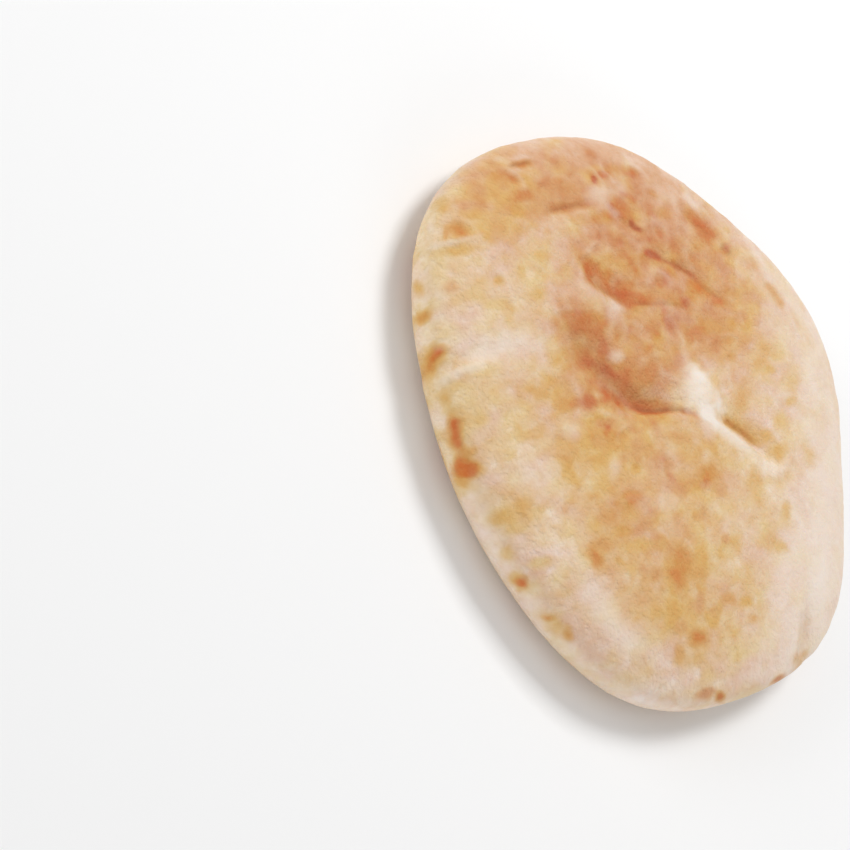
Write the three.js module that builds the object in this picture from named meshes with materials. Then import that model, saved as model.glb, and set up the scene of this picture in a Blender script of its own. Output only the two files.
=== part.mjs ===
import * as THREE from 'three';
import { mergeVertices } from 'three/addons/utils/BufferGeometryUtils.js';

// A puffed round pocket flatbread that lies flat with its shown side up.
// Millimetres, +Z up. The near side of the bread is at -Y.

// Plan: a near-round oval whose hand-rolled edge swells slowly in and out.
const HALF_LONG = 83.5;
const HALF_SHORT = 81.5;
const EDGE_SWELLS = [
  { waves: 3, height: 2.4, bearing: -31 },
  { waves: 4, height: 1.0, bearing: 17 },
  { waves: 5, height: 1.2, bearing: 18 },
  { waves: 6, height: 1.0, bearing: 26 },
];

// Section: how far the two crusts stand over and under the level of the rim.
const TOP_RISE = 13.5;
const UNDER_DROP = 10.5;
// A higher flatness keeps the crust level further out, and a higher bluntness makes the rim squarer.
const FLATNESS = 4.4;
const BLUNTNESS = 2.6;
// The underside settles by this much, which leaves the flat spot that it rests on.
const SETTLED = 1.5;
const RIM_LEVEL = UNDER_DROP - SETTLED;

// Broad swellings (height over 0) and sags (height under 0) of the upper crust.
const SWELLINGS = [
  { x: 34, y: -30, height: 1.5, reach: 28 },
  { x: -46, y: -36, height: 0.8, reach: 20 },
  { x: -24, y: 30, height: -0.9, reach: 30 },
  { x: 44, y: 40, height: 0.5, reach: 22 },
  // The puffed lip of a wrinkle.
  { x: -33, y: -14, height: 1.0, reach: 8 },
  // The pinched knob in the middle, where the dough was drawn together.
  { x: 2, y: 12, height: 0.7, reach: 7 },
];

// Creases: a path in plan, its depth, and how far it reaches to the left and right of the path.
const CREASES = [
  // The fold that runs up to the pinched knob, with a gentle far side and a steep near lip.
  {
    path: [[-8, -23], [-4.3, -19.5], [-2.4, -15.5], [-0.9, -10.5], [0.9, -4], [2.9, 2], [6.2, 7.5]],
    depth: 3.0, left: 7, right: 1.7,
  },
  // The crease that leaves the knob on its other side.
  { path: [[7.7, 13.3], [14.5, 19.1], [22.4, 25.4], [29.2, 30.5]], depth: 2.2, left: 5, right: 1.6 },
  // The soft trough that the fold starts from.
  { path: [[-28, -31], [-20, -28], [-14, -23.5], [-8, -18], [-3, -11]], depth: 1.7, left: 8, right: 6 },
  // Two wrinkles in the toasted part of the crust.
  { path: [[-41, 18], [-35, 26], [-28, 34], [-18.5, 39.5]], depth: 1.3, left: 2.2, right: 4 },
  {
    path: [[-46.5, -10.2], [-41, -9.5], [-36.5, -7.5], [-32, -3.8], [-26, 3]],
    depth: 1.7, left: 6, right: 1.8,
  },
  // A shallow dip that runs in from the near edge.
  { path: [[-36, -78], [-35, -68], [-33, -58], [-30, -46]], depth: 0.9, left: 4, right: 3 },
  // A fold in the rim.
  { path: [[62, 20.5], [69, 16.8], [74, 13.6], [77.5, 11.3], [79.8, 9.8]], depth: 1.6, left: 6, right: 1.4 },
];

// Mesh fineness.
const SECTORS = 112;
const TOP_RINGS = 34;
const UNDER_RINGS = 18;
const PATH_STEPS = 48;

// Radius of the plan outline at a bearing.
function edgeRadius(bearing) {
  const oval = Math.hypot(HALF_SHORT * Math.cos(bearing), HALF_LONG * Math.sin(bearing));
  let radius = HALF_LONG * HALF_SHORT / oval;
  for (const swell of EDGE_SWELLS) {
    const crest = THREE.MathUtils.degToRad(swell.bearing);
    radius += swell.height * Math.cos(swell.waves * (bearing - crest));
  }
  return radius;
}

// One crust's section from its middle out to the rim, with its points evenly spaced.
function crustSection(height, rings) {
  const meanRadius = (HALF_LONG + HALF_SHORT) / 2;
  const points = [];
  for (let i = 0; i <= 200; i += 1) {
    const share = Math.sin(Math.PI / 2 * i / 200);
    const rise = height * (1 - share ** FLATNESS) ** (1 / BLUNTNESS);
    points.push(new THREE.Vector2(share * meanRadius, rise));
  }
  const spaced = new THREE.SplineCurve(points).getSpacedPoints(rings);
  spaced[0].x = 0;
  spaced[rings].set(meanRadius, 0);
  return spaced;
}

function mound(spot, x, y) {
  const away = Math.hypot(x - spot.x, y - spot.y) / spot.reach;
  return spot.height * Math.exp(-away * away);
}

// Each crease's path as short straight steps.
const CREASE_POINTS = CREASES.map((crease) => {
  const corners = crease.path.map(([x, y]) => new THREE.Vector2(x, y));
  return new THREE.SplineCurve(corners).getPoints(PATH_STEPS);
});

// How deep a crease is at a place. It runs out to nothing at both of its ends.
function creaseDepth(crease, points, x, y) {
  let nearest = Infinity;
  let along = 0;
  let side = 1;
  for (let i = 0; i < PATH_STEPS; i += 1) {
    const from = points[i];
    const stepX = points[i + 1].x - from.x;
    const stepY = points[i + 1].y - from.y;
    const share = ((x - from.x) * stepX + (y - from.y) * stepY) / (stepX * stepX + stepY * stepY);
    const held = THREE.MathUtils.clamp(share, 0, 1);
    const offX = x - from.x - held * stepX;
    const offY = y - from.y - held * stepY;
    const away = Math.hypot(offX, offY);
    if (away < nearest) {
      nearest = away;
      along = (i + held) / PATH_STEPS;
      side = stepX * offY - stepY * offX;
    }
  }
  const reach = side > 0 ? crease.left : crease.right;
  const taper = Math.sin(Math.PI * along) ** 0.8;
  return crease.depth * taper * Math.exp(-((nearest / reach) ** 2));
}

// Height of the crust's relief over the smooth form.
function relief(x, y) {
  let height = 0;
  for (const swelling of SWELLINGS) {
    height += mound(swelling, x, y);
  }
  CREASES.forEach((crease, i) => {
    height -= creaseDepth(crease, CREASE_POINTS[i], x, y);
  });
  return height;
}

// Moves a point of the round form onto the bread.
function shapePoint(point) {
  const meanRadius = (HALF_LONG + HALF_SHORT) / 2;
  const share = Math.min(1, Math.hypot(point.x, point.y) / meanRadius);
  const bearing = Math.atan2(point.y, point.x);
  const edge = edgeRadius(bearing);
  const x = share * edge * Math.cos(bearing);
  const y = share * edge * Math.sin(bearing);
  const crust = point.z >= 0 ? TOP_RISE : UNDER_DROP;
  // The relief acts along the smooth form's normal, and fades out under the rim.
  const outward = FLATNESS * share ** (FLATNESS - 1) / edge;
  const upward = BLUNTNESS * Math.sign(point.z) * Math.abs(point.z / crust) ** (BLUNTNESS - 1) / crust;
  const length = Math.hypot(outward, upward);
  const fade = 1 - THREE.MathUtils.smoothstep(-point.z, 0, UNDER_DROP * 0.6);
  const height = fade > 0 ? fade * relief(x, y) / length : 0;
  point.x = x + height * outward * Math.cos(bearing);
  point.y = y + height * outward * Math.sin(bearing);
  point.z = Math.max(0, RIM_LEVEL + point.z + height * upward);
}

// The lathe's own axis is Y, so the round form is turned to stand on Z.
const under = crustSection(-UNDER_DROP, UNDER_RINGS);
const upper = crustSection(TOP_RISE, TOP_RINGS).reverse();
const lathe = new THREE.LatheGeometry(under.concat(upper.slice(1)), SECTORS);
lathe.rotateX(Math.PI / 2);
lathe.deleteAttribute('normal');
lathe.deleteAttribute('uv');
const bread = mergeVertices(lathe, 1e-4);

// On the axis the lathe leaves triangles with no area.
const corners = bread.getIndex().array;
const kept = [];
for (let i = 0; i < corners.length; i += 3) {
  const [a, b, c] = [corners[i], corners[i + 1], corners[i + 2]];
  if (a !== b && b !== c && c !== a) {
    kept.push(a, b, c);
  }
}
bread.setIndex(kept);

const places = bread.getAttribute('position');
const point = new THREE.Vector3();
for (let i = 0; i < places.count; i += 1) {
  point.fromBufferAttribute(places, i);
  shapePoint(point);
  places.setXYZ(i, point.x, point.y, point.z);
}

// The origin is under the middle of the bread's box.
bread.computeBoundingBox();
const middle = bread.boundingBox.getCenter(new THREE.Vector3());
bread.translate(-middle.x, -middle.y, 0);
bread.computeVertexNormals();

const crust = new THREE.MeshStandardMaterial({ color: 0xdbb58f, roughness: 0.75, metalness: 0 });
const pita = new THREE.Mesh(bread, crust);
pita.name = 'pita';

const group = new THREE.Group();
group.add(pita);

export default group;
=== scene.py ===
import math

import bpy
import numpy as np
from mathutils import Matrix, Vector, noise


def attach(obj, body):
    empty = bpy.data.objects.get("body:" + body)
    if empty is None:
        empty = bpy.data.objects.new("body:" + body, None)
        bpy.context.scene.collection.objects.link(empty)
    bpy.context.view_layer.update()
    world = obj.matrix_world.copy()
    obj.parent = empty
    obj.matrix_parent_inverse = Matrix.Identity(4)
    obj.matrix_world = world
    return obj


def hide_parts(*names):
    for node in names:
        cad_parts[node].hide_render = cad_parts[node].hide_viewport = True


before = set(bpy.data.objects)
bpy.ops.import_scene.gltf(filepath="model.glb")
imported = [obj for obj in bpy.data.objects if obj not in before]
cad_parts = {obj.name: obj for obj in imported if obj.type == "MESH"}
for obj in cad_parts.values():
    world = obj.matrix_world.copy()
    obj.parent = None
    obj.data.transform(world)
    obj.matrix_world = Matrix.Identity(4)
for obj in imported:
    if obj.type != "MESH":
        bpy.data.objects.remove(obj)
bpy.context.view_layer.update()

MM = 0.001

# A puffed round pita bread that lies flat with its shown side up.
# +Z is up, the near side is at -Y and the right is at +X.

# Form of the bread in millimetres, with the same values as the part's solid.
HALF_LONG = 83.5
HALF_SHORT = 81.5
MEAN_RADIUS = (HALF_LONG + HALF_SHORT) / 2
TOP_RISE = 13.5
UNDER_DROP = 10.5
# A higher flatness keeps a crust level further out, and a higher bluntness makes the rim squarer.
FLATNESS = 4.4
BLUNTNESS = 2.6
# The underside settles by this much, which leaves the flat spot that it rests on.
SETTLED = 1.5
RIM_LEVEL = UNDER_DROP - SETTLED

# Slow swells of the edge: waves around it, height, and bearing of a crest in degrees.
EDGE_SWELLS = [(3, 2.4, -31), (4, 1.0, 17), (5, 1.2, 18), (6, 1.0, 26)]

# Swellings and, with a height under 0, sags of the upper crust: middle in plan, height and reach.
SWELLINGS = [
    ((34, -30), 1.5, 28),
    ((-46, -36), 0.8, 20),
    ((-24, 30), -0.9, 30),
    ((44, 40), 0.5, 22),
    # The puffed lip of a wrinkle
    ((-33, -14), 1.0, 8),
    # The pinched knob in the middle
    ((2, 12), 0.7, 7),
]

# Creases: path in plan, depth, and reach to the left and right of the path.
CREASES = [
    # The fold that runs up to the knob
    ([(-8, -23), (-4.3, -19.5), (-2.4, -15.5), (-0.9, -10.5), (0.9, -4), (2.9, 2), (6.2, 7.5)],
     3.0, 7, 1.7),
    # The crease that leaves the knob on its other side
    ([(7.7, 13.3), (14.5, 19.1), (22.4, 25.4), (29.2, 30.5)], 2.2, 5, 1.6),
    # The soft trough that the fold starts from
    ([(-28, -31), (-20, -28), (-14, -23.5), (-8, -18), (-3, -11)], 1.7, 8, 6),
    # Two wrinkles in the toasted part
    ([(-41, 18), (-35, 26), (-28, 34), (-18.5, 39.5)], 1.3, 2.2, 4),
    ([(-46.5, -10.2), (-41, -9.5), (-36.5, -7.5), (-32, -3.8), (-26, 3)], 1.7, 6, 1.8),
    # A shallow dip that runs in from the near edge
    ([(-36, -78), (-35, -68), (-33, -58), (-30, -46)], 0.9, 4, 3),
    # A fold in the rim
    ([(62, 20.5), (69, 16.8), (74, 13.6), (77.5, 11.3), (79.8, 9.8)], 1.6, 6, 1.4),
]
CREASE_TAPER = 0.8

# Finer wrinkles and, with a depth under 0, ridges: path in plan, depth and reach.
WRINKLES = [
    ([(-48, 42.5), (-43, 44.7), (-38.4, 47.2), (-35.5, 52)], 0.9, 1.8),
    ([(-62, -14.5), (-60.7, -8.5), (-59.8, -2), (-58.8, 4.5)], 1.0, 1.5),
    ([(-57.5, 10.5), (-53.7, 12.6), (-50.3, 14.7), (-47.9, 16.6), (-46, 19.5)], 0.8, 1.4),
    ([(-27, 8.5), (-24.7, 15), (-22.2, 21.5)], 0.5, 1.0),
    ([(-77, -15.5), (-75.9, -12), (-75.2, -7.5)], 0.6, 1.3),
    ([(-64.5, -56), (-64.3, -51), (-63.4, -47), (-62, -39)], -0.9, 1.5),
    ([(-31.6, -74), (-32, -70), (-32, -65), (-30.5, -59)], -0.7, 1.6),
    ([(-18.5, 62.5), (-14.5, 65), (-9.6, 65.4)], 0.4, 1.6),
]

# Unevenness of the crust: size of its lumps, height, seed, and whether the dented part has more of it.
UNEVENNESS = [(13, 0.30, 1, False), (6, 0.15, 2, True), (2.6, 0.06, 3, True)]
# The dented part: middle in plan, how much more it has there, and reach.
DENTED_PART = ((-30, 22), 1.8, 42)
# Under the rim the relief runs out over this share of the drop, and this share of the unevenness stays.
RELIEF_FADE = 0.6
UNDER_UNEVENNESS = 0.4

# Small blisters, each a pit with a raised edge: many in the toasted part, and fewer elsewhere.
BLISTER_SEED = 11
BLISTERS_TOASTED = 60
BLISTERS_ELSEWHERE = 30
TOAST_MIDDLE = (-30, 16)
TOAST_SPREAD = (20, 30)
ELSEWHERE_SPREAD = 55
BLISTER_SIZE = (1.0, 2.3)
BLISTER_STRETCH = (1.2, 2.8)
BLISTER_DEPTH = (0.08, 0.26)
# A blister's edge: height as a share of the pit's depth, then place and width in sizes of the pit.
BLISTER_EDGE = 0.5
BLISTER_EDGE_AT = 1.6
BLISTER_EDGE_WIDTH = 0.55
# The edge is highest at this angle from the pit's long axis, in radians.
BLISTER_EDGE_ANGLE = 1.0
# A blister is worked out to this many sizes of the pit.
BLISTER_REACH = 4

# Blisters that stand out: middle in plan, size, stretch, turn and depth.
LARGE_BLISTERS = [
    ((-73.4, -18.3), 1.6, 1.4, 0.4, 0.40),
    ((-31.5, 17.2), 2.0, 1.3, 1.2, 0.40),
    ((-65.6, -45.2), 2.0, 1.5, 0.3, 0.35),
    ((-49.4, -44.2), 1.5, 1.4, 0.8, 0.30),
    ((-65.0, 12.2), 1.5, 1.8, 0.2, 0.40),
    ((-64.3, 16.3), 1.4, 1.5, 0.9, 0.35),
    ((-62.3, 30.6), 2.0, 1.6, 1.0, 0.40),
]

# The camera, in millimetres: the photograph is turned clockwise, and the bread is right of its middle.
FRAME_PX = 850
ELEVATION = math.radians(42.6)
ROLL = math.radians(64.7)
DISTANCE = 900.0
SENSOR_WIDTH = 36
CLIP_START = 10
# The bread's middle, where it is in the photograph, and the pixels for each millimetre there.
BREAD_MIDDLE = np.array([0.0, 0.0, 11.0])
BREAD_PX = (646.3, 413.3)
PX_PER_MM = 3.62

# Squares across the upper crust's mesh and across the plainer underside, and steps along curves.
GRID = 280
UNDER_GRID = GRID // 2
PATH_STEPS = 48
SECTION_STEPS = 4000

# How far each new seed moves the random field.
GRAIN_STEP = (17.3, 5.1, 9.7)


def smooth(low, high, value):
    """0 up to the low value, 1 from the high one, and a soft step between."""
    share = np.clip((value - low) / (high - low), 0, 1)
    return share * share * (3 - 2 * share)


def grain(points, size, seed):
    """Soft random values around 0, with lumps of about the given size."""
    shift = Vector([step * seed for step in GRAIN_STEP])
    return np.array([noise.noise(Vector(point) / size + shift) for point in points])


def edge_radius(bearing):
    """Radius of the plan outline."""
    oval = np.hypot(HALF_SHORT * np.cos(bearing), HALF_LONG * np.sin(bearing))
    radius = HALF_LONG * HALF_SHORT / oval
    for waves, height, crest in EDGE_SWELLS:
        radius = radius + height * np.cos(waves * (bearing - math.radians(crest)))
    return radius


def spline(corners):
    """Points along a smooth curve through the corners."""
    ends = np.array([corners[0], *corners, corners[-1]], float)
    points = []
    for way in np.linspace(0, len(corners) - 1, PATH_STEPS + 1):
        i = min(int(way), len(corners) - 2)
        share = way - i
        before, start, end, after = ends[i:i + 4]
        start_slope = (end - before) / 2
        end_slope = (after - start) / 2
        cubic = 2 * start - 2 * end + start_slope + end_slope
        square = 3 * end - 3 * start - 2 * start_slope - end_slope
        points.append(((cubic * share + square) * share + start_slope) * share + start)
    return np.array(points)


def to_path(x, y, points):
    """Distance to a path, how far along it the nearest point is, and which side of it."""
    near = np.full(x.shape, np.inf)
    along = np.zeros(x.shape)
    side = np.ones(x.shape)
    steps = len(points) - 1
    for i in range(steps):
        from_x = x - points[i][0]
        from_y = y - points[i][1]
        step_x, step_y = points[i + 1] - points[i]
        share = (from_x * step_x + from_y * step_y) / (step_x * step_x + step_y * step_y)
        held = np.clip(share, 0, 1)
        off_x = from_x - held * step_x
        off_y = from_y - held * step_y
        away = np.hypot(off_x, off_y)
        closer = away < near
        near = np.where(closer, away, near)
        along = np.where(closer, (i + held) / steps, along)
        side = np.where(closer, step_x * off_y - step_y * off_x, side)
    return near, along, side


def mound(x, y, middle, height, reach):
    """Height of a round rise that fades out around its middle."""
    away = np.hypot(x - middle[0], y - middle[1]) / reach
    return height * np.exp(-away * away)


def crease(x, y, path, depth, left, right):
    """Depth of a crease, which runs out to nothing at both ends."""
    near, along, side = to_path(x, y, spline(path))
    reach = np.where(side > 0, left, right)
    return depth * np.sin(math.pi * along) ** CREASE_TAPER * np.exp(-(near / reach) ** 2)


def relief(x, y):
    """Height of the swellings, creases and wrinkles over the smooth form."""
    height = np.zeros(x.shape)
    for swelling in SWELLINGS:
        height += mound(x, y, *swelling)
    for row in CREASES:
        height -= crease(x, y, *row)
    for path, depth, reach in WRINKLES:
        height -= crease(x, y, path, depth, reach, reach)
    return height


def unevenness(form):
    """Height of the crust's slow lumps and small dents."""
    dented = 1 + mound(form[:, 0], form[:, 1], *DENTED_PART)
    height = np.zeros(len(form))
    for size, strength, seed, more_dented in UNEVENNESS:
        lumps = strength * grain(form, size, seed)
        height += dented * lumps if more_dented else lumps
    return height


def draw_blisters():
    """Places, sizes, stretches, turns and depths of the blisters, the same on every run."""
    draw = np.random.default_rng(BLISTER_SEED)
    toasted_places = draw.normal(TOAST_MIDDLE, TOAST_SPREAD, (BLISTERS_TOASTED, 2))
    other_places = draw.uniform(-ELSEWHERE_SPREAD, ELSEWHERE_SPREAD, (BLISTERS_ELSEWHERE, 2))
    places = np.vstack([toasted_places, other_places])
    count = len(places)
    sizes = draw.uniform(*BLISTER_SIZE, count)
    stretches = draw.uniform(*BLISTER_STRETCH, count)
    turns = draw.uniform(0, math.pi, count)
    depths = draw.uniform(*BLISTER_DEPTH, count)
    return LARGE_BLISTERS + list(zip(places, sizes, stretches, turns, depths))


def blister_marks(x, y):
    """How deep in a blister's pit, and how high on a blister's edge, each place is."""
    pit = np.zeros(x.shape)
    edge = np.zeros(x.shape)
    for (middle_x, middle_y), size, stretch, turn, depth in draw_blisters():
        off_x = x - middle_x
        off_y = y - middle_y
        near = np.flatnonzero(np.hypot(off_x, off_y) < BLISTER_REACH * size * stretch)
        long = (off_x[near] * math.cos(turn) + off_y[near] * math.sin(turn)) / (size * stretch)
        short = (off_y[near] * math.cos(turn) - off_x[near] * math.sin(turn)) / size
        away = np.hypot(long, short)
        pit[near] += depth * np.exp(-away * away)
        ring = np.exp(-((away - BLISTER_EDGE_AT) / BLISTER_EDGE_WIDTH) ** 2)
        one_sided = (1 + np.cos(np.arctan2(short, long) - BLISTER_EDGE_ANGLE)) / 2
        edge[near] += BLISTER_EDGE * depth * ring * one_sided
    return pit, edge


def disc_grid(squares):
    """A square grid bent onto a disc: share of the way out and bearing of each grid point."""
    ticks = np.linspace(-1, 1, squares + 1)
    across, along = np.meshgrid(ticks, ticks, indexing="ij")
    wide = np.abs(across) >= np.abs(along)
    across_or_1 = np.where(across == 0, 1, across)
    along_or_1 = np.where(along == 0, 1, along)
    eighth = math.pi / 4
    turn = np.where(wide, eighth * along / across_or_1, 2 * eighth - eighth * across / along_or_1)
    out = np.where(wide, across, along)
    x = out * np.cos(turn)
    y = out * np.sin(turn)
    return np.hypot(x, y), np.arctan2(y, x)


def section(out, height):
    """Share of the radius and share of the height at an evenly spaced way out along a crust."""
    share = np.sin(np.linspace(0, math.pi / 2, SECTION_STEPS))
    rise = np.maximum(0, 1 - share ** FLATNESS) ** (1 / BLUNTNESS)
    steps = np.hypot(np.diff(share) * MEAN_RADIUS, np.diff(rise) * height)
    length = np.append(0, np.cumsum(steps))
    way = np.clip(out, 0, 1) * length[-1]
    return np.interp(way, length, share), np.interp(way, length, rise)


def crust(out, bearing, height, side):
    """Points of one crust, moved by the relief along the smooth form's normals, and those normals."""
    share, rise = section(out, height)
    edge = edge_radius(bearing)
    outward = FLATNESS * share ** (FLATNESS - 1) / edge
    upward = side * BLUNTNESS * rise ** (BLUNTNESS - 1) / height
    normals = np.stack([outward * np.cos(bearing), outward * np.sin(bearing), upward], -1)
    normals /= np.hypot(outward, upward)[:, None]
    x = share * edge * np.cos(bearing)
    y = share * edge * np.sin(bearing)
    z = side * rise * height
    form = np.stack([x, y, z], -1)
    fade = 1 - smooth(0, UNDER_DROP * RELIEF_FADE, -z)
    lift = fade * relief(x, y)
    lift += (UNDER_UNEVENNESS + (1 - UNDER_UNEVENNESS) * fade) * unevenness(form)
    if side > 0:
        pit, pit_edge = blister_marks(x, y)
        lift += pit_edge - pit
    points = form + lift[:, None] * normals
    points[:, 2] = np.maximum(0, RIM_LEVEL + points[:, 2])
    return points, normals


def bread_faces(top, low):
    """Faces over the point numbers of the upper and the under grid, which share the rim."""
    faces = []
    for i in range(GRID):
        for j in range(GRID):
            faces.append([top[i][j], top[i + 1][j], top[i + 1][j + 1], top[i][j + 1]])
    last = UNDER_GRID - 1
    for i in range(UNDER_GRID):
        for j in range(UNDER_GRID):
            face = [low[i][j], low[i][j + 1], low[i + 1][j + 1], low[i + 1][j]]
            # At the rim a face also takes in the upper grid's point between its two corners.
            if j == 0:
                face.append(top[2 * i + 1][0])
            if i == last:
                face.insert(3, top[GRID][2 * j + 1])
            if j == last:
                face.insert(2, top[2 * i + 1][GRID])
            if i == 0:
                face.insert(1, top[0][2 * j + 1])
            faces.append(face)
    return faces


# The bread's mesh: a fine upper grid and a coarser under grid that meet at the rim.
out, bearing = disc_grid(GRID)
upper, upper_normals = crust(out.ravel(), bearing.ravel(), TOP_RISE, 1)
out, bearing = disc_grid(UNDER_GRID)
inner = (slice(1, -1), slice(1, -1))
under, under_normals = crust(out[inner].ravel(), bearing[inner].ravel(), UNDER_DROP, -1)
points = np.vstack([upper, under])
normals = np.vstack([upper_normals, under_normals])

top_numbers = np.arange(len(upper)).reshape(GRID + 1, GRID + 1)
low_numbers = top_numbers[::2, ::2].copy()
low_numbers[inner] = np.arange(len(upper), len(points)).reshape(UNDER_GRID - 1, UNDER_GRID - 1)

# The origin is under the middle of the bread's box.
shift = (points.min(0) + points.max(0)) / 2
shift[2] = 0

mesh = bpy.data.meshes.new("pita_bread")
faces = bread_faces(top_numbers.tolist(), low_numbers.tolist())
mesh.from_pydata(((points - shift) * MM).tolist(), [], faces)
mesh.shade_smooth()
bread = bpy.data.objects.new("pita_bread", mesh)
bpy.context.scene.collection.objects.link(bread)

# The camera's axes: back towards it, and right and up in the turned picture.
BACK = np.array([0, -math.cos(ELEVATION), math.sin(ELEVATION)])
LEVEL_RIGHT = np.array([1.0, 0, 0])
LEVEL_UP = np.array([0, math.sin(ELEVATION), math.cos(ELEVATION)])
RIGHT = LEVEL_RIGHT * math.cos(ROLL) + LEVEL_UP * math.sin(ROLL)
UP = LEVEL_UP * math.cos(ROLL) - LEVEL_RIGHT * math.sin(ROLL)
off_right = (BREAD_PX[0] - FRAME_PX / 2) / PX_PER_MM
off_up = (FRAME_PX / 2 - BREAD_PX[1]) / PX_PER_MM
EYE = BREAD_MIDDLE + BACK * DISTANCE - RIGHT * off_right - UP * off_up

camera = bpy.data.objects.new("camera", bpy.data.cameras.new("camera"))
camera.data.sensor_width = SENSOR_WIDTH
camera.data.lens = SENSOR_WIDTH * PX_PER_MM * DISTANCE / FRAME_PX
camera.data.clip_start = CLIP_START * MM
axes = Matrix([RIGHT, UP, BACK]).transposed().to_4x4()
camera.matrix_world = Matrix.Translation((EYE - shift) * MM) @ axes
bpy.context.scene.collection.objects.link(camera)
bpy.context.scene.camera = camera

# The smooth form's slopes, as cosines, over which it comes to face the camera, to face down, to face up
# and to leave the rim.
FACING = (-0.05, 0.12)
UNDERNEATH = (0.3, 0.8)
TOP_SIDE = (0.1, 0.5)
OFF_RIM = (0.0, 0.9)

# Where each point of the bread is in the photograph, and which side of the bread it is on.
sight = points - EYE
scale = PX_PER_MM * DISTANCE / -(sight @ BACK)
photo_x = FRAME_PX / 2 + scale * (sight @ RIGHT)
photo_y = FRAME_PX / 2 - scale * (sight @ UP)
facing = smooth(*FACING, -(normals * sight).sum(1) / np.linalg.norm(sight, axis=1))
underneath = smooth(*UNDERNEATH, -normals[:, 2])
top_side = smooth(*TOP_SIDE, normals[:, 2])
rim = 1 - smooth(*OFF_RIM, normals[:, 2])

# Grains of the crust's colour: size and seed, and a strength where several are added up.
MOTTLES = [(16, 4), (8, 5), (4, 6), (2, 14)]
SPECKS = (5, 11)
SPECK_RANGE = (0.12, 0.45)
TINTS = [(7, 9, 0.70), (3.5, 10, 0.55)]
RAGGED_EDGES = [(4, 12, 0.45), (2, 13, 0.30)]
# Blotches are longer from the near side to the far side.
BLOTCH_STRETCH = np.array([1, 1.4, 1])
# The zones' edges wander to the right and down by two grains, in pixels.
WANDERING = [(12, 7), (12, 8)]
WANDER_PX = 26

blotch_points = points / BLOTCH_STRETCH
mottles = [grain(blotch_points, size, seed) for size, seed in MOTTLES]
small_mottle = mottles[2]
specks = smooth(*SPECK_RANGE, grain(blotch_points, *SPECKS))
tint = sum(strength * grain(blotch_points, size, seed) for size, seed, strength in TINTS)
ragged = sum(strength * grain(blotch_points, size, seed) for size, seed, strength in RAGGED_EDGES)
wander_x, wander_y = [WANDER_PX * grain(points, size, seed) for size, seed in WANDERING]

# A mark fades out between two shares of a spot's half sizes or of a stroke's half width.
SPOT_EDGE = (0.25, 1.70)
SOFT_EDGE = (0.0, 1.5)
STROKE_EDGE = (0.0, 1.5)
# A stroke fades over a share of its length at each end, down to a share of its strength at the tip.
STROKE_END = 0.25
STROKE_TIP = 0.2
# A stroke's edge has this share of a spot's raggedness.
STROKE_RAGGED = 0.4


def mottling(level, *strengths):
    """A level with large, medium, small and tiny mottles and specks of the given strengths."""
    return level + sum(strength * layer for strength, layer in zip(strengths, mottles + [specks]))


def spot(at, half, turn, edge=SPOT_EDGE):
    """1 in an oval of the photograph and 0 well outside it, with a ragged edge."""
    right = photo_x - at[0]
    down = photo_y - at[1]
    cosine = math.cos(math.radians(turn))
    sine = math.sin(math.radians(turn))
    long = (right * cosine + down * sine) / half[0]
    short = (down * cosine - right * sine) / half[1]
    return (1 - smooth(*edge, np.hypot(long, short) + ragged)) * facing


def stroke(path, above, below):
    """1 along a line of the photograph, fading over its width on each side and at its ends."""
    near, along, side = to_path(photo_x, photo_y, spline(path))
    wide = np.where(side > 0, below, above)
    across = 1 - smooth(*STROKE_EDGE, near / wide + STROKE_RAGGED * ragged)
    ends = smooth(0, STROKE_END, along) * (1 - smooth(1 - STROKE_END, 1, along))
    return across * (STROKE_TIP + (1 - STROKE_TIP) * ends) * facing


def region(corners, soft):
    """1 inside a polygon of the photograph and 0 outside it, with a soft, wandering edge."""
    x = photo_x + wander_x
    y = photo_y + wander_y
    near, _, _ = to_path(x, y, np.array(corners + corners[:1], float))
    inside = np.zeros(len(x), bool)
    for (from_x, from_y), (to_x, to_y) in zip(corners, corners[1:] + corners[:1]):
        if from_y != to_y:
            crossing = from_x + (y - from_y) * (to_x - from_x) / (to_y - from_y)
            inside ^= ((from_y > y) != (to_y > y)) & (x < crossing)
    return smooth(-soft, soft, np.where(inside, near, -near))


# Zones of the crust: corners in the photograph, and half the width of the soft edge in pixels.
TOASTED_ZONE = ([
    (458, 172), (565, 138), (625, 150), (690, 195), (728, 245), (756, 300), (760, 340), (746, 364),
    (712, 360), (668, 395), (640, 408), (578, 368), (556, 338), (568, 258), (540, 222), (480, 208),
    (445, 200)], 28)
MOTTLED_ZONE = ([
    (515, 430), (600, 400), (720, 440), (750, 490), (738, 590), (725, 640), (700, 658), (660, 630),
    (605, 575), (545, 500)], 38)
FAR_RIM_ZONE = ([
    (760, 240), (830, 340), (870, 450), (870, 600), (830, 670), (770, 690), (762, 640), (782, 590),
    (796, 500), (806, 420), (796, 360), (772, 290)], 34)
NEAR_RIM_ZONE = ([
    (395, 190), (445, 190), (462, 300), (456, 400), (478, 470), (440, 490), (395, 330)], 14)

toasted = region(*TOASTED_ZONE) * facing
mottled = region(*MOTTLED_ZONE) * facing
far_rim = region(*FAR_RIM_ZONE) * (1 - underneath)
near_rim = region(*NEAR_RIM_ZONE) * facing

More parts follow.
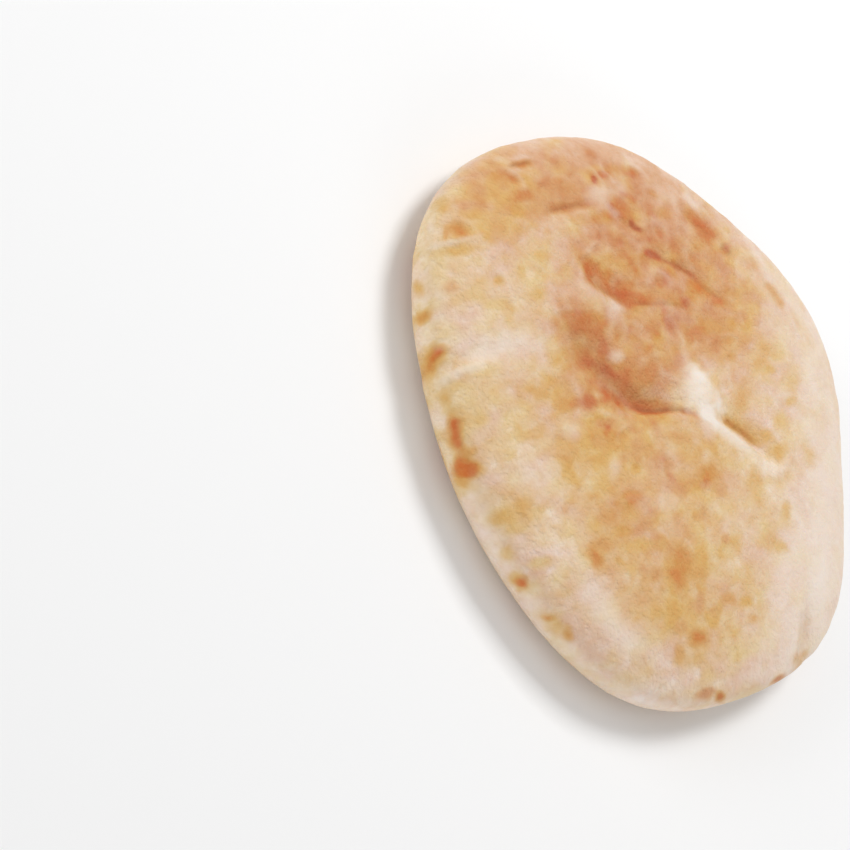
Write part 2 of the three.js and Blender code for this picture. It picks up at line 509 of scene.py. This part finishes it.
# Browning from 0, pale, to 1, scorched, also carrying painted shade and a painted light: its level, and
# the strengths of the mottles and specks.
PLAIN_CRUST = (0.24, 0.05, 0.07, 0.06, 0.05, 0.10)
TOASTED_CRUST = (0.35, 0.10, 0.10, 0.09, 0.08)
MOTTLED_CRUST = (0.13, 0.06, 0.09, 0.08, 0.06, 0.06)
# Painted light: the near rim is painted paler, as if it were lit more strongly.
NEAR_RIM_PAINTED_LIGHT = 0.05
bake_and_painted_light = mottling(*PLAIN_CRUST)
bake_and_painted_light += toasted * mottling(*TOASTED_CRUST)
bake_and_painted_light += mottled * mottling(*MOTTLED_CRUST)
bake_and_painted_light -= NEAR_RIM_PAINTED_LIGHT * near_rim

# Golden tint from 0, pinkish brown, to 1, golden: its level, and the shifts in specks and in zones.
GOLDEN_LEVEL = 0.45
GOLDEN_SPECKS = 0.2
TOASTED_GOLDEN = -0.10
MOTTLED_GOLDEN = 0.20
FAR_RIM_GOLDEN = -0.25
NEAR_RIM_GOLDEN = 0.35
# The tint is evener in the mottled zone by this share.
MOTTLED_EVENNESS = 0.35
golden = GOLDEN_LEVEL + (1 - MOTTLED_EVENNESS * mottled) * tint + GOLDEN_SPECKS * specks
golden += TOASTED_GOLDEN * toasted + MOTTLED_GOLDEN * mottled
golden += FAR_RIM_GOLDEN * far_rim + NEAR_RIM_GOLDEN * near_rim

# Broad tones: place in the photograph, half sizes, turn, and shifts of browning and of the golden tint.
TONES = [
    # Towards the near edge
    ((482, 416), (30, 28), 0, 0.06, 0.1), ((525, 470), (34, 30), 0, -0.06, 0.0),
    ((488, 570), (12, 24), -30, -0.10, 0.0), ((468, 378), (36, 12), 0, 0.06, 0.2),
    ((555, 328), (13, 18), 0, -0.18, -0.1), ((554, 510), (16, 14), 0, -0.10, -0.1),
    # Upper left
    ((505, 190), (30, 18), 0, 0.06, 0.2), ((488, 220), (44, 16), 0, 0.10, 0.25),
    ((480, 234), (36, 11), 0, 0.18, 0.3), ((530, 253), (24, 18), 0, 0.12, 0.0),
    ((536, 182), (14, 14), 0, -0.12, -0.1),
    # Toasted part, and the crust to its right
    ((640, 235), (50, 30), 20, 0.16, 0.0), ((660, 188), (36, 20), 35, -0.02, -0.5),
    ((590, 265), (30, 34), 0, 0.08, 0.1), ((600, 385), (50, 30), 20, 0.16, 0.2),
    ((584, 340), (34, 28), 0, 0.14, 0.2), ((560, 396), (32, 24), 0, 0.16, 0.2),
    ((705, 275), (24, 24), 0, -0.08, 0.0), ((668, 345), (28, 26), 0, 0.10, 0.1),
    ((602, 302), (20, 10), 35, -0.16, 0.0), ((585, 228), (22, 18), 0, -0.10, -0.2),
    ((572, 148), (70, 16), 0, 0.04, -0.6), ((620, 190), (24, 20), 0, -0.08, -0.1),
    ((705, 225), (26, 20), 0, 0.0, -0.2), ((566, 286), (17, 19), 0, -0.10, -0.1),
    ((650, 175), (24, 16), 30, -0.08, -0.4), ((727, 258), (15, 14), 0, 0.22, 0.0),
    ((733, 352), (16, 16), 0, -0.14, 0.0), ((690, 263), (14, 10), 0, -0.10, 0.0),
    ((599, 158), (24, 10), 0, -0.12, -0.2), ((632, 340), (14, 12), 0, -0.10, -0.1),
    ((596, 258), (18, 13), 20, -0.20, 0.0), ((672, 213), (14, 12), 0, -0.08, -0.3),
    # Middle and lower half
    ((625, 432), (60, 20), 0, 0.08, 0.2), ((628, 505), (30, 66), 0, 0.14, 0.0),
    ((690, 470), (44, 24), 10, 0.16, 0.0), ((690, 555), (44, 28), 0, 0.14, 0.1),
    ((680, 605), (44, 34), 0, 0.12, 0.1), ((585, 440), (34, 30), 0, 0.10, 0.2),
    ((676, 656), (44, 20), 0, -0.06, -0.2), ((730, 540), (26, 56), 0, -0.13, -0.1),
    # The second tone on the next line, along the near wall under its pale shoulder, is painted shade,
    # browner and pinker there.
    ((580, 412), (30, 14), 0, 0.06, 0.0), ((572, 628), (50, 13), 48, 0.04, -0.4),
    ((656, 538), (36, 24), 0, -0.08, -0.3), ((594, 443), (18, 12), 0, 0.14, 0.1),
    ((669, 420), (22, 8), 0, 0.14, 0.0), ((763, 469), (16, 20), 0, -0.12, -0.1),
    ((561, 559), (18, 16), 0, -0.10, -0.3), ((670, 690), (40, 12), -10, -0.10, -0.3),
    ((628, 457), (16, 12), 0, 0.12, 0.0), ((722, 506), (14, 14), 0, 0.10, 0.2),
    ((645, 508), (18, 14), 0, -0.04, 0.3),
]
for at, half, turn, browner, more_golden in TONES:
    here = spot(at, half, turn)
    bake_and_painted_light += browner * here
    golden += more_golden * here

# Browned spots, some of them also painted shade where noted: place in the photograph, half sizes, turn,
# browning, and how golden.
SPOTS = [
    # Towards the near edge
    ((418, 289), (5, 7), 0, 0.55, 1.0), ((423, 317), (9, 5.5), -42, 0.76, 1.0),
    ((432, 362), (16, 12), -50, 0.58, 1.0), ((445, 399), (7, 9), 0, 0.46, 1.0),
    ((455, 436), (9, 16), -8, 0.70, 0.8), ((466, 452), (8, 9), -30, 0.64, 0.95),
    ((467, 461), (12, 15), -25, 0.66, 0.9), ((464, 470), (11, 11), -10, 1.02, 0.85),
    ((464, 461), (10, 9), -20, 0.94, 0.9), ((463, 481), (8, 7), 0, 0.66, 1.0),
    ((515, 578), (8, 7), 0, 0.46, 1.0), ((521, 584), (6.5, 6.5), 0, 1.00, 0.9),
    ((548, 618), (8, 4.5), 5, 0.92, 0.95), ((567, 634), (6, 7), 0, 0.74, 0.9),
    ((556, 625), (15, 9), 35, 0.42, 1.0), ((520, 505), (11, 12), 0, 0.54, 0.9),
    ((504, 517), (14, 7), -15, 0.48, 1.0), ((540, 562), (13, 6), -10, 0.33, 1.0),
    ((507, 552), (6, 8), 0, 0.40, 1.0), ((535, 391), (16, 7), 10, 0.50, 0.85),
    # Upper left
    ((443, 205), (7, 7), 0, 0.52, 0.95), ((459, 231), (10, 8), 0, 0.62, 0.8),
    ((461, 234), (6, 4), 0, 0.66, 0.7), ((446, 234), (2.5, 6), 0, 0.62, 0.6),
    # The first spot on the next line is painted shade under the ridge, laid on as browning.
    ((460, 250), (22, 5), -8, 0.46, 1.0), ((482, 187), (10, 10), 0, 0.54, 0.35),
    ((494, 188), (7, 14), 0, 0.52, 0.9), ((520, 164), (10, 4), -5, 0.95, 0.7),
    ((521, 196), (12, 7), -5, 0.84, 0.6), ((511, 180), (7, 3), 15, 0.70, 0.6),
    ((500, 231), (9, 9), 0, 0.62, 0.7), ((540, 208), (12, 8), 10, 0.60, 0.5),
    ((556, 190), (16, 9), 15, 0.70, 0.35), ((451, 288), (8, 7), 0, 0.42, 0.3),
    ((498, 280), (6, 6), 0, 0.38, 0.9), ((538, 296), (10, 7), 0, 0.42, 1.0),
    # Toasted part, and the crust to its right
    ((594, 179), (3.5, 5.5), 0, 0.94, 0.1), ((602, 174), (9, 4), 10, 0.80, 0.5),
    ((632, 172), (9, 4.5), 15, 0.78, 0.4), ((620, 243), (6, 4.5), 0, 0.80, 0.2),
    ((596, 246), (8, 5), 20, 0.64, 0.2), ((660, 214), (6, 7), 0, 0.66, 0.6),
    ((675, 244), (5, 10), -10, 0.78, 0.3), ((726, 249), (5.5, 6.5), -30, 1.00, 0.9),
    ((700, 256), (14, 5), 10, 0.64, 0.2), ((694, 290), (8, 14), 0, 0.70, 0.8),
    ((627, 297), (12, 8), 10, 1.00, 0.25), ((626, 286), (10, 6), 10, 0.84, 0.6),
    ((660, 240), (9, 7), 0, 0.82, 0.3), ((594, 273), (9, 14), -30, 0.92, 0.5),
    ((665, 299), (14, 8), 0, 0.72, 0.5), ((580, 322), (17, 10), 8, 0.86, 0.6),
    # On the next four lines, the spots at (584, 357), (633, 375), (651, 370), (611, 389) and (632, 394)
    # are browning on the trough's slope and also painted shade there.
    ((596, 328), (11, 12), 0, 0.86, 0.4), ((584, 357), (18, 9), 15, 0.80, 0.55),
    ((604, 347), (4, 9), -10, 0.84, 0.2), ((633, 375), (22, 12), 20, 0.80, 0.5),
    ((651, 370), (7, 7), 0, 0.86, 0.45), ((611, 389), (22, 12), 30, 0.86, 0.45),
    ((632, 394), (10, 12), 0, 0.78, 0.5), ((648, 328), (10, 9), 0, 0.72, 0.35),
    ((697, 333), (9, 9), 0, 0.86, 0.5), ((712, 328), (16, 8), 0, 0.68, 0.75),
    ((713, 345), (7, 9), 0, 0.72, 0.15), ((744, 338), (7, 7), 0, 0.58, 0.6),
    ((741, 316), (6, 6), 0, 0.62, 0.3), ((763, 356), (8, 17), 20, 0.50, 0.65),
    ((768, 370), (8, 4), 0, 0.48, 1.0), ((742, 396), (9, 14), 0, 0.52, 0.6),
    ((790, 402), (5, 6), 0, 0.42, 1.0), ((782, 420), (9, 9), 0, 0.36, 1.0),
    ((810, 455), (9, 11), 0, 0.28, 0.8), ((778, 450), (12, 9), 30, 0.44, 1.0),
    # The spot at (652, 404) on the next line is painted shade above the fold line, laid on as browning.
    ((767, 437), (8, 6), 20, 0.44, 0.9), ((652, 404), (16, 6), 0, 0.84, 0.6),
    ((790, 380), (9, 12), 20, 0.34, 0.9),
    # Middle and lower half
    ((586, 403), (10, 7.5), 0, 0.90, 0.2), ((563, 403), (8, 8), 0, 0.60, 0.9),
    ((610, 434), (22, 14), -10, 0.52, 0.95), ((604, 424), (10, 6), 0, 0.62, 0.4),
    ((600, 458), (7, 5), 0, 0.58, 1.0), ((570, 448), (10, 11), 0, 0.48, 0.85),
    ((638, 449), (7, 12), 10, 0.62, 0.5), ((632, 497), (8.5, 7.5), 0, 0.81, 1.0),
    ((624, 505), (8, 6), 0, 0.54, 1.0), ((612, 517), (10, 9), 0, 0.62, 0.65),
    ((603, 541), (9, 10), 20, 0.64, 0.65), ((597, 560), (7, 12), -10, 0.78, 0.75),
    ((624, 531), (9, 6), 0, 0.50, 1.0), ((707, 476), (9.5, 9.5), 0, 0.84, 0.85),
    ((706, 484), (5, 4), 0, 0.60, 0.2), ((679, 568), (12, 20), 5, 0.80, 0.8),
    ((693, 570), (13, 12), 0, 0.64, 0.85), ((698, 638), (9, 7.5), -25, 0.86, 0.75),
    ((680, 658), (7, 10), 10, 0.58, 0.7), ((653, 612), (7, 12), 0, 0.52, 0.95),
    ((640, 545), (11, 7), 0, 0.52, 1.0), ((700, 604), (4, 9), 0, 0.60, 0.3),
    ((681, 627), (5, 7), 0, 0.62, 0.6), ((728, 598), (6, 6.5), 0, 0.62, 0.7),
    ((747, 602), (6, 6), 0, 0.55, 1.0), ((749, 576), (6, 16), 0, 0.42, 0.85),
    ((755, 618), (8, 5), 0, 0.50, 0.6), ((735, 541), (7, 13), 0, 0.44, 0.95),
    ((726, 539), (4, 5), 0, 0.58, 0.4), ((771, 540), (7, 12), 0, 0.42, 0.6),
    ((786, 509), (5, 9), 0, 0.46, 0.95), ((782, 547), (7, 7), 0, 0.38, 1.0),
    ((755, 482), (8, 14), 0, 0.48, 0.8), ((720, 697), (4.5, 5), 0, 0.92, 0.5),
    ((705, 694), (9, 5), -20, 0.60, 0.0), ((778, 679), (7, 3), -30, 0.85, 0.0),
    ((682, 440), (12, 8), 10, 0.58, 0.6), ((692, 456), (10, 8), 0, 0.52, 0.8),
    ((600, 440), (11, 7), 0, 0.62, 0.7), ((641, 600), (9, 9), 0, 0.52, 0.4),
    ((580, 456), (9, 7), 0, 0.52, 0.9), ((626, 610), (6, 11), 0, 0.42, 0.4),
    ((799, 660), (6, 10), 10, 0.36, 0.5),
]

# Browned streaks, some of them also painted shade where noted: path in the photograph, half widths
# above and below it, browning, and how golden.
STREAKS = [
    ([(429, 376), (430, 366), (434, 357), (440, 352), (448, 350)], 6.5, 5.5, 0.95, 0.9),
    ([(453, 416), (454, 427), (456, 438), (460, 451)], 7.5, 7, 1.04, 0.7),
    ([(540, 212), (556, 209), (572, 206), (588, 204), (604, 202)], 9, 5, 0.86, 0.35),
    ([(608, 203), (620, 211), (631, 220)], 9, 5, 0.86, 0.6),
    ([(630, 219), (634, 227), (643, 231)], 3.5, 3, 1.08, 0.15),
    ([(579, 191), (586, 190), (593, 188)], 3, 3, 0.74, 0.3),
    ([(682, 208), (695, 220), (707, 232), (718, 239)], 7, 10, 0.90, 0.5),
    ([(644, 250), (652, 255), (663, 260)], 4, 3.5, 1.12, 0.0),
    ([(656, 258), (671, 264), (686, 272), (700, 282)], 3, 3, 0.90, 0.4),
    ([(691, 276), (703, 289), (716, 299), (731, 306)], 6, 7, 0.89, 0.9),
    ([(763, 281), (775, 294), (784, 310)], 5, 5, 0.56, 0.5),
    ([(576, 252), (584, 264), (592, 275), (602, 287)], 9, 4, 0.90, 0.6),
    ([(602, 288), (612, 295), (622, 300), (634, 304)], 6, 3, 0.88, 0.5),
    ([(616, 298), (632, 303), (647, 304), (666, 304)], 10, 2.5, 0.90, 0.5),
    ([(644, 303), (654, 303), (664, 304), (674, 304), (684, 305)], 4, 2.5, 0.76, 0.9),
    ([(574, 364), (596, 364), (610, 374), (630, 386)], 8, 7, 0.96, 0.25),
    # The fold line on the next line is browning and also painted shade deep in the fold.
    ([(622, 401), (636, 410), (650, 413), (663, 412), (676, 411)], 6.5, 2.5, 0.96, 0.5),
    ([(678, 411), (690, 413), (700, 418)], 4, 3, 0.78, 0.1),
    # The next two, along the crease beyond the knob, are browning and also painted shade on its far
    # side and deep in it.
    ([(726, 419), (738, 428), (751, 438), (764, 448)], 16, 4, 0.50, 0.9),
    ([(722, 418), (733, 427), (744, 435), (758, 446)], 5, 2.5, 0.80, 0.95),
]

# A mark's browning is mottled a little, and most of the golden tint there becomes its own.
MARK_MOTTLE = 0.12
MARK_TINT = 0.9
bare = np.zeros(len(points))
marks = [(spot(at, half, turn), tone, gold) for at, half, turn, tone, gold in SPOTS]
marks += [(stroke(path, above, below), tone, gold) for path, above, below, tone, gold in STREAKS]
for here, tone, gold in marks:
    bake_and_painted_light += np.maximum(0, tone + MARK_MOTTLE * small_mottle - bake_and_painted_light) * here
    golden += (gold - golden) * MARK_TINT * here
    bare = np.maximum(bare, here)

# Sides that the photograph doesn't show: browned blotches underneath, and lighter ones at the far side.
BLOTCH_MOTTLES = (0, 1.0, 0.6, 0.3)
BLOTCH_RANGE = (-0.3, 0.7)
UNDER_BAKE = 0.08
UNDER_BLOTCHES = 0.42
FAR_BLOTCHES = 0.20
blotches = smooth(*BLOTCH_RANGE, mottling(*BLOTCH_MOTTLES))
bake_and_painted_light += underneath * (UNDER_BAKE + UNDER_BLOTCHES * blotches)
bake_and_painted_light += (1 - underneath) * (1 - facing) * FAR_BLOTCHES * blotches

# The blisters' pits are browner and bare of flour, and the rim is paler.
PIT_BROWNER = 0.45
PIT_BARE = 2
RIM_PALER = 0.06
pit, pit_edge = blister_marks(points[:, 0], points[:, 1])
bake_and_painted_light += PIT_BROWNER * pit * top_side
bare = np.maximum(bare, np.clip(PIT_BARE * pit, 0, 1))
bake_and_painted_light -= RIM_PALER * rim

# Flour from 0 to 1, to which painted highlights are added further on: a thin mottled dust, more of it
# on the rim, and little on browned marks.
FLOUR_DUST = (0.02, 0, 0.10, 0.10)
FAR_RIM_FLOUR = 0.60
RIM_FLOUR = 0.30
MARKS_KEEP_OFF = 0.85
PIT_EDGE_FLOUR = 0.9
flour_and_highlight = mottling(*FLOUR_DUST) * (1 - toasted) + FAR_RIM_FLOUR * far_rim
flour_and_highlight += RIM_FLOUR * rim * (1 - far_rim) * (1 - near_rim)
flour_and_highlight *= 1 - MARKS_KEEP_OFF * bare
flour_and_highlight += PIT_EDGE_FLOUR * pit_edge * top_side

# Floury spots, or bare ones where the strength is under 0, and one painted highlight where noted: place
# in the photograph, half sizes, turn and strength.
PALE_SPOTS = [
    # Towards the near edge
    ((493, 346), (40, 19), -8, 0.56), ((540, 345), (18, 11), 0, 0.3),
    ((545, 475), (18, 17), 0, 0.35), ((530, 477), (14, 12), 0, 0.2), ((440, 300), (9, 16), 0, 0.25),
    # Toasted part, and the crust to its right
    # The last spot on the next line, at (617, 356), is a painted highlight.
    ((701, 389), (17, 27), -8, 0.76), ((697, 374), (12, 9), 0, 0.45), ((617, 356), (8, 7), 0, 0.42),
    ((597, 196), (13, 13), 0, 0.35), ((620, 188), (9, 9), 0, 0.3), ((668, 194), (10, 10), 0, 0.12),
    ((690, 229), (7, 5), 40, 0.12), ((680, 396), (16, 12), 20, 0.12),
    ((582, 142), (60, 9), 0, 0.14),
    # Middle and lower half
    ((711, 434), (9, 7), 40, 0.25), ((715, 404), (10, 10), 0, 0.35), ((767, 468), (9, 9), 40, 0.25),
    ((710, 414), (11, 9), 40, 0.8), ((662, 502), (18, 12), 0, 0.26), ((615, 468), (7, 12), 0, 0.35),
    ((572, 430), (11, 11), 0, 0.35), ((818, 585), (14, 40), 0, 0.2),
    ((752, 676), (18, 10), -25, 0.25), ((804, 634), (7, 24), 4, -0.35),
    ((790, 636), (9, 18), 0, -0.15),
]

# Floury streaks and painted highlights along ridges and lips: path in the photograph, half widths above
# and below it, and strength.
PALE_STREAKS = [
    # Flour and a painted highlight on the lip below the crease beyond the knob
    ([(704, 412), (716, 422), (729, 432), (742, 442), (756, 454)], 2.5, 8.5, 0.72),
    # Painted highlight along the ridge by the near dip
    ([(434, 385), (450, 376), (464, 369), (487, 364)], 4, 6, 0.4),
    # Painted highlight on the shoulder above the near wall
    ([(580, 570), (604, 610), (622, 634), (650, 658)], 16, 14, 0.5),
    # A ridge of paler, less toasted crust
    ([(582, 281), (598, 294), (613, 303), (628, 314)], 3, 16, 0.30),
    # Painted highlights on two lips in the toasted part
    ([(681, 193), (690, 201), (699, 209)], 6, 4, 0.4),
    ([(604, 203), (612, 210), (620, 217)], 4, 5, 0.25),
    # Painted highlight along the ridge at the upper left
    ([(430, 249), (445, 243), (460, 240), (484, 235)], 3, 3, 0.30),
    # Painted highlight on the lip of the rim fold
    ([(799, 612), (797, 630), (795, 650), (790, 668)], 1.5, 7, 0.15),
]
for at, half, turn, strength in PALE_SPOTS:
    flour_and_highlight += strength * spot(at, half, turn, SOFT_EDGE)
for path, above, below, strength in PALE_STREAKS:
    flour_and_highlight += strength * stroke(path, above, below)

# Shade deep in the creases: path in the photograph, half widths above and below it, and strength.
DARK_LINES = [
    ([(628, 404), (643, 411), (660, 411), (677, 410), (694, 414)], 4, 2, 0.40),
    ([(586, 356), (602, 374), (620, 390), (642, 400), (662, 404)], 16, 9, 0.20),
    ([(566, 314), (576, 330), (584, 346), (590, 362)], 17, 14, 0.13),
    ([(722, 418), (733, 427), (744, 435), (757, 445)], 4, 2, 0.22),
    ([(644, 250), (664, 260), (686, 272), (708, 291), (730, 305)], 2.5, 2, 0.18),
    ([(582, 266), (592, 282), (608, 294), (628, 303)], 5, 2.5, 0.12),
    ([(628, 303), (650, 304), (670, 304), (692, 306)], 3, 1.5, 0.20),
    ([(629, 218), (633, 226), (643, 231)], 3, 2.5, 0.22),
    ([(508, 166), (519, 164), (531, 161)], 2, 2, 0.28),
    ([(720, 243), (726, 249), (731, 255)], 4, 4, 0.25),
    ([(544, 212), (558, 209), (572, 206), (590, 203)], 3, 2, 0.16),
    ([(802, 600), (801, 616), (799, 634), (797, 652), (793, 672)], 11, 1.2, 0.10),
]
shade = np.zeros(len(points))
for path, above, below, strength in DARK_LINES:
    shade = np.maximum(shade, strength * stroke(path, above, below))

for name, values in (("bake_and_painted_light", bake_and_painted_light), ("golden", golden), ("flour_and_highlight", flour_and_highlight), ("shade", shade)):
    layer = mesh.attributes.new(name, "FLOAT", "POINT")
    layer.data.foreach_set("value", np.clip(values, 0, 1).astype(np.float32))


def srgb(red, green, blue):
    """A colour as read from a picture, for a shader."""
    return tuple(((v / 255 + 0.055) / 1.055) ** 2.4 for v in (red, green, blue)) + (1.0,)


def new_material(name):
    material = bpy.data.materials.new(name)
    material.use_nodes = True
    return material, material.node_tree.nodes, material.node_tree.links


def node(nodes, kind, **values):
    """A new shader node with the given settings."""
    made = nodes.new("ShaderNode" + kind)
    for key, value in values.items():
        setattr(made, key, value)
    return made


def attribute(nodes, name):
    """Values of one of the mesh's painted layers."""
    return node(nodes, "Attribute", attribute_name=name).outputs["Fac"]


def ramp(nodes, links, source, stops):
    """Colours blended between stops."""
    made = node(nodes, "ValToRGB")
    elements = made.color_ramp.elements
    while len(elements) < len(stops):
        elements.new(0.5)
    for element, (at, colour) in zip(elements, stops):
        element.position = at
        element.color = srgb(*colour)
    links.new(source, made.inputs["Fac"])
    return made.outputs["Color"]


def mix(nodes, links, factor, first, second):
    """The first colour where the factor is 0, and the second where it is 1."""
    made = node(nodes, "Mix", data_type="RGBA")
    links.new(factor, made.inputs["Factor"])
    links.new(first, made.inputs["A"])
    if isinstance(second, tuple):
        made.inputs["B"].default_value = second
    else:
        links.new(second, made.inputs["B"])
    return made.outputs["Result"]


def noise_texture(nodes, links, coords, scale, detail):
    """Soft random values around a half."""
    made = node(nodes, "TexNoise")
    made.inputs["Scale"].default_value = scale
    made.inputs["Detail"].default_value = detail
    links.new(coords, made.inputs["Vector"])
    return made.outputs["Fac"]


def maths(nodes, links, operation, *values):
    """One sum, over numbers and the outputs of other nodes."""
    made = node(nodes, "Math", operation=operation)
    for socket, value in zip(made.inputs, values):
        if isinstance(value, (int, float)):
            socket.default_value = value
        else:
            links.new(value, socket)
    return made.outputs["Value"]


# Crust colours from pale to scorched: pinkish brown, and golden.
BROWN_STOPS = [
    (0.0, (239, 221, 209)), (0.25, (224, 190, 164)), (0.50, (214, 166, 128)), (0.75, (203, 141, 96)),
    (1.0, (188, 100, 61))]
GOLD_STOPS = [
    (0.0, (240, 222, 196)), (0.25, (224, 194, 144)), (0.50, (217, 173, 105)), (0.75, (209, 151, 79)),
    (1.0, (207, 112, 42))]
FLOUR_AND_HIGHLIGHT_COLOUR = srgb(237, 225, 213)
SHADE_COLOUR = srgb(120, 84, 54)
# Two grains of fine crumb: scale and detail of the noise, and strength in the browning.
FINE_CRUMB = (330, 4)
FINER_CRUMB = (900, 3)
FINE_BROWNING = 0.24
FINER_BROWNING = 0.16
MEAN_CRUMB_BROWNING = (FINE_BROWNING + FINER_BROWNING) / 2
# Bump of the crumb, smoothed where there is flour and painted highlight.
CRUMB_HEIGHT = 0.8 * MM
FINER_BUMP = 0.9
BUMP = 0.8
FLOUR_AND_HIGHLIGHT_SMOOTHING = 0.5
# Sheen, and light that soaks into the crust, with how far its red, green and blue go.
ROUGHNESS = 0.7
SPECULAR = 0.3
SUBSURFACE = 0.12
SUBSURFACE_DEPTH = 3 * MM
SUBSURFACE_RADIUS = (1.0, 0.5, 0.25)


def crust_material():
    """Baked crust, coloured by the mesh's browning with its painted light, golden tint, flour with
    painted highlights, and painted shade.
    """
    material, nodes, links = new_material("baked_crust")
    shader = nodes["Principled BSDF"]
    coords = node(nodes, "TexCoord").outputs["Object"]
    fine = noise_texture(nodes, links, coords, *FINE_CRUMB)
    finer = noise_texture(nodes, links, coords, *FINER_CRUMB)

    browning_and_painted_light = maths(nodes, links, "MULTIPLY_ADD", fine, FINE_BROWNING, attribute(nodes, "bake_and_painted_light"))
    browning_and_painted_light = maths(nodes, links, "MULTIPLY_ADD", finer, FINER_BROWNING, browning_and_painted_light)
    browning_and_painted_light = maths(nodes, links, "SUBTRACT", browning_and_painted_light, MEAN_CRUMB_BROWNING)
    brown = ramp(nodes, links, browning_and_painted_light, BROWN_STOPS)
    gold = ramp(nodes, links, browning_and_painted_light, GOLD_STOPS)
    colour = mix(nodes, links, attribute(nodes, "golden"), brown, gold)
    colour = mix(nodes, links, attribute(nodes, "flour_and_highlight"), colour, FLOUR_AND_HIGHLIGHT_COLOUR)
    colour = mix(nodes, links, attribute(nodes, "shade"), colour, SHADE_COLOUR)
    links.new(colour, shader.inputs["Base Color"])
    shader.inputs["Roughness"].default_value = ROUGHNESS
    shader.inputs["Specular IOR Level"].default_value = SPECULAR
    shader.inputs["Subsurface Weight"].default_value = SUBSURFACE
    shader.inputs["Subsurface Scale"].default_value = SUBSURFACE_DEPTH
    shader.inputs["Subsurface Radius"].default_value = SUBSURFACE_RADIUS

    bump = node(nodes, "Bump")
    bump.inputs["Distance"].default_value = CRUMB_HEIGHT
    strength = maths(nodes, links, "MULTIPLY_ADD", attribute(nodes, "flour_and_highlight"), -FLOUR_AND_HIGHLIGHT_SMOOTHING, BUMP)
    links.new(strength, bump.inputs["Strength"])
    crumb = maths(nodes, links, "MULTIPLY_ADD", finer, FINER_BUMP, fine)
    links.new(crumb, bump.inputs["Height"])
    links.new(bump.outputs["Normal"], shader.inputs["Normal"])
    return material


mesh.materials.append(crust_material())
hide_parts("pita")
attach(bread, "root")

# Floor, in metres
FLOOR_HALF = 3
FLOOR_COLOUR = (0.93, 0.93, 0.93, 1)
FLOOR_ROUGHNESS = 0.8
corners = [(-FLOOR_HALF, -FLOOR_HALF, 0), (FLOOR_HALF, -FLOOR_HALF, 0),
           (FLOOR_HALF, FLOOR_HALF, 0), (-FLOOR_HALF, FLOOR_HALF, 0)]
floor_mesh = bpy.data.meshes.new("floor")
floor_mesh.from_pydata(corners, [], [(0, 1, 2, 3)])
floor = bpy.data.objects.new("floor", floor_mesh)
bpy.context.scene.collection.objects.link(floor)
floor_material, nodes, _ = new_material("pale_floor")
nodes["Principled BSDF"].inputs["Base Color"].default_value = FLOOR_COLOUR
nodes["Principled BSDF"].inputs["Roughness"].default_value = FLOOR_ROUGHNESS
floor_mesh.materials.append(floor_material)

# Light: an even white room, a soft light high over the far side, and two broad low lights, one from the
# near left and one from the right.
ROOM_STRENGTH = 0.48
# Name, direction from the bread, distance and size in metres, and power in watts.
LIGHTS = [
    ("key", (-0.24, 0.50, 0.83), 1.2, 0.45, 7.8),
    ("fill", (-0.74, -0.63, 0.22), 1.4, 1.0, 7.5),
    ("front", (0.90, -0.38, 0.22), 1.4, 1.0, 5.0),
]
world = bpy.data.worlds.new("studio")
world.use_nodes = True
world.node_tree.nodes["Background"].inputs["Color"].default_value = (1, 1, 1, 1)
world.node_tree.nodes["Background"].inputs["Strength"].default_value = ROOM_STRENGTH
bpy.context.scene.world = world
for name, towards, distance, size, power in LIGHTS:
    light = bpy.data.objects.new(name, bpy.data.lights.new(name, "AREA"))
    light.data.size = size
    light.data.energy = power
    direction = Vector(towards).normalized()
    light.location = direction * distance
    light.rotation_euler = direction.to_track_quat("Z", "Y").to_euler()
    bpy.context.scene.collection.objects.link(light)

bpy.context.scene.view_settings.view_transform = "Standard"
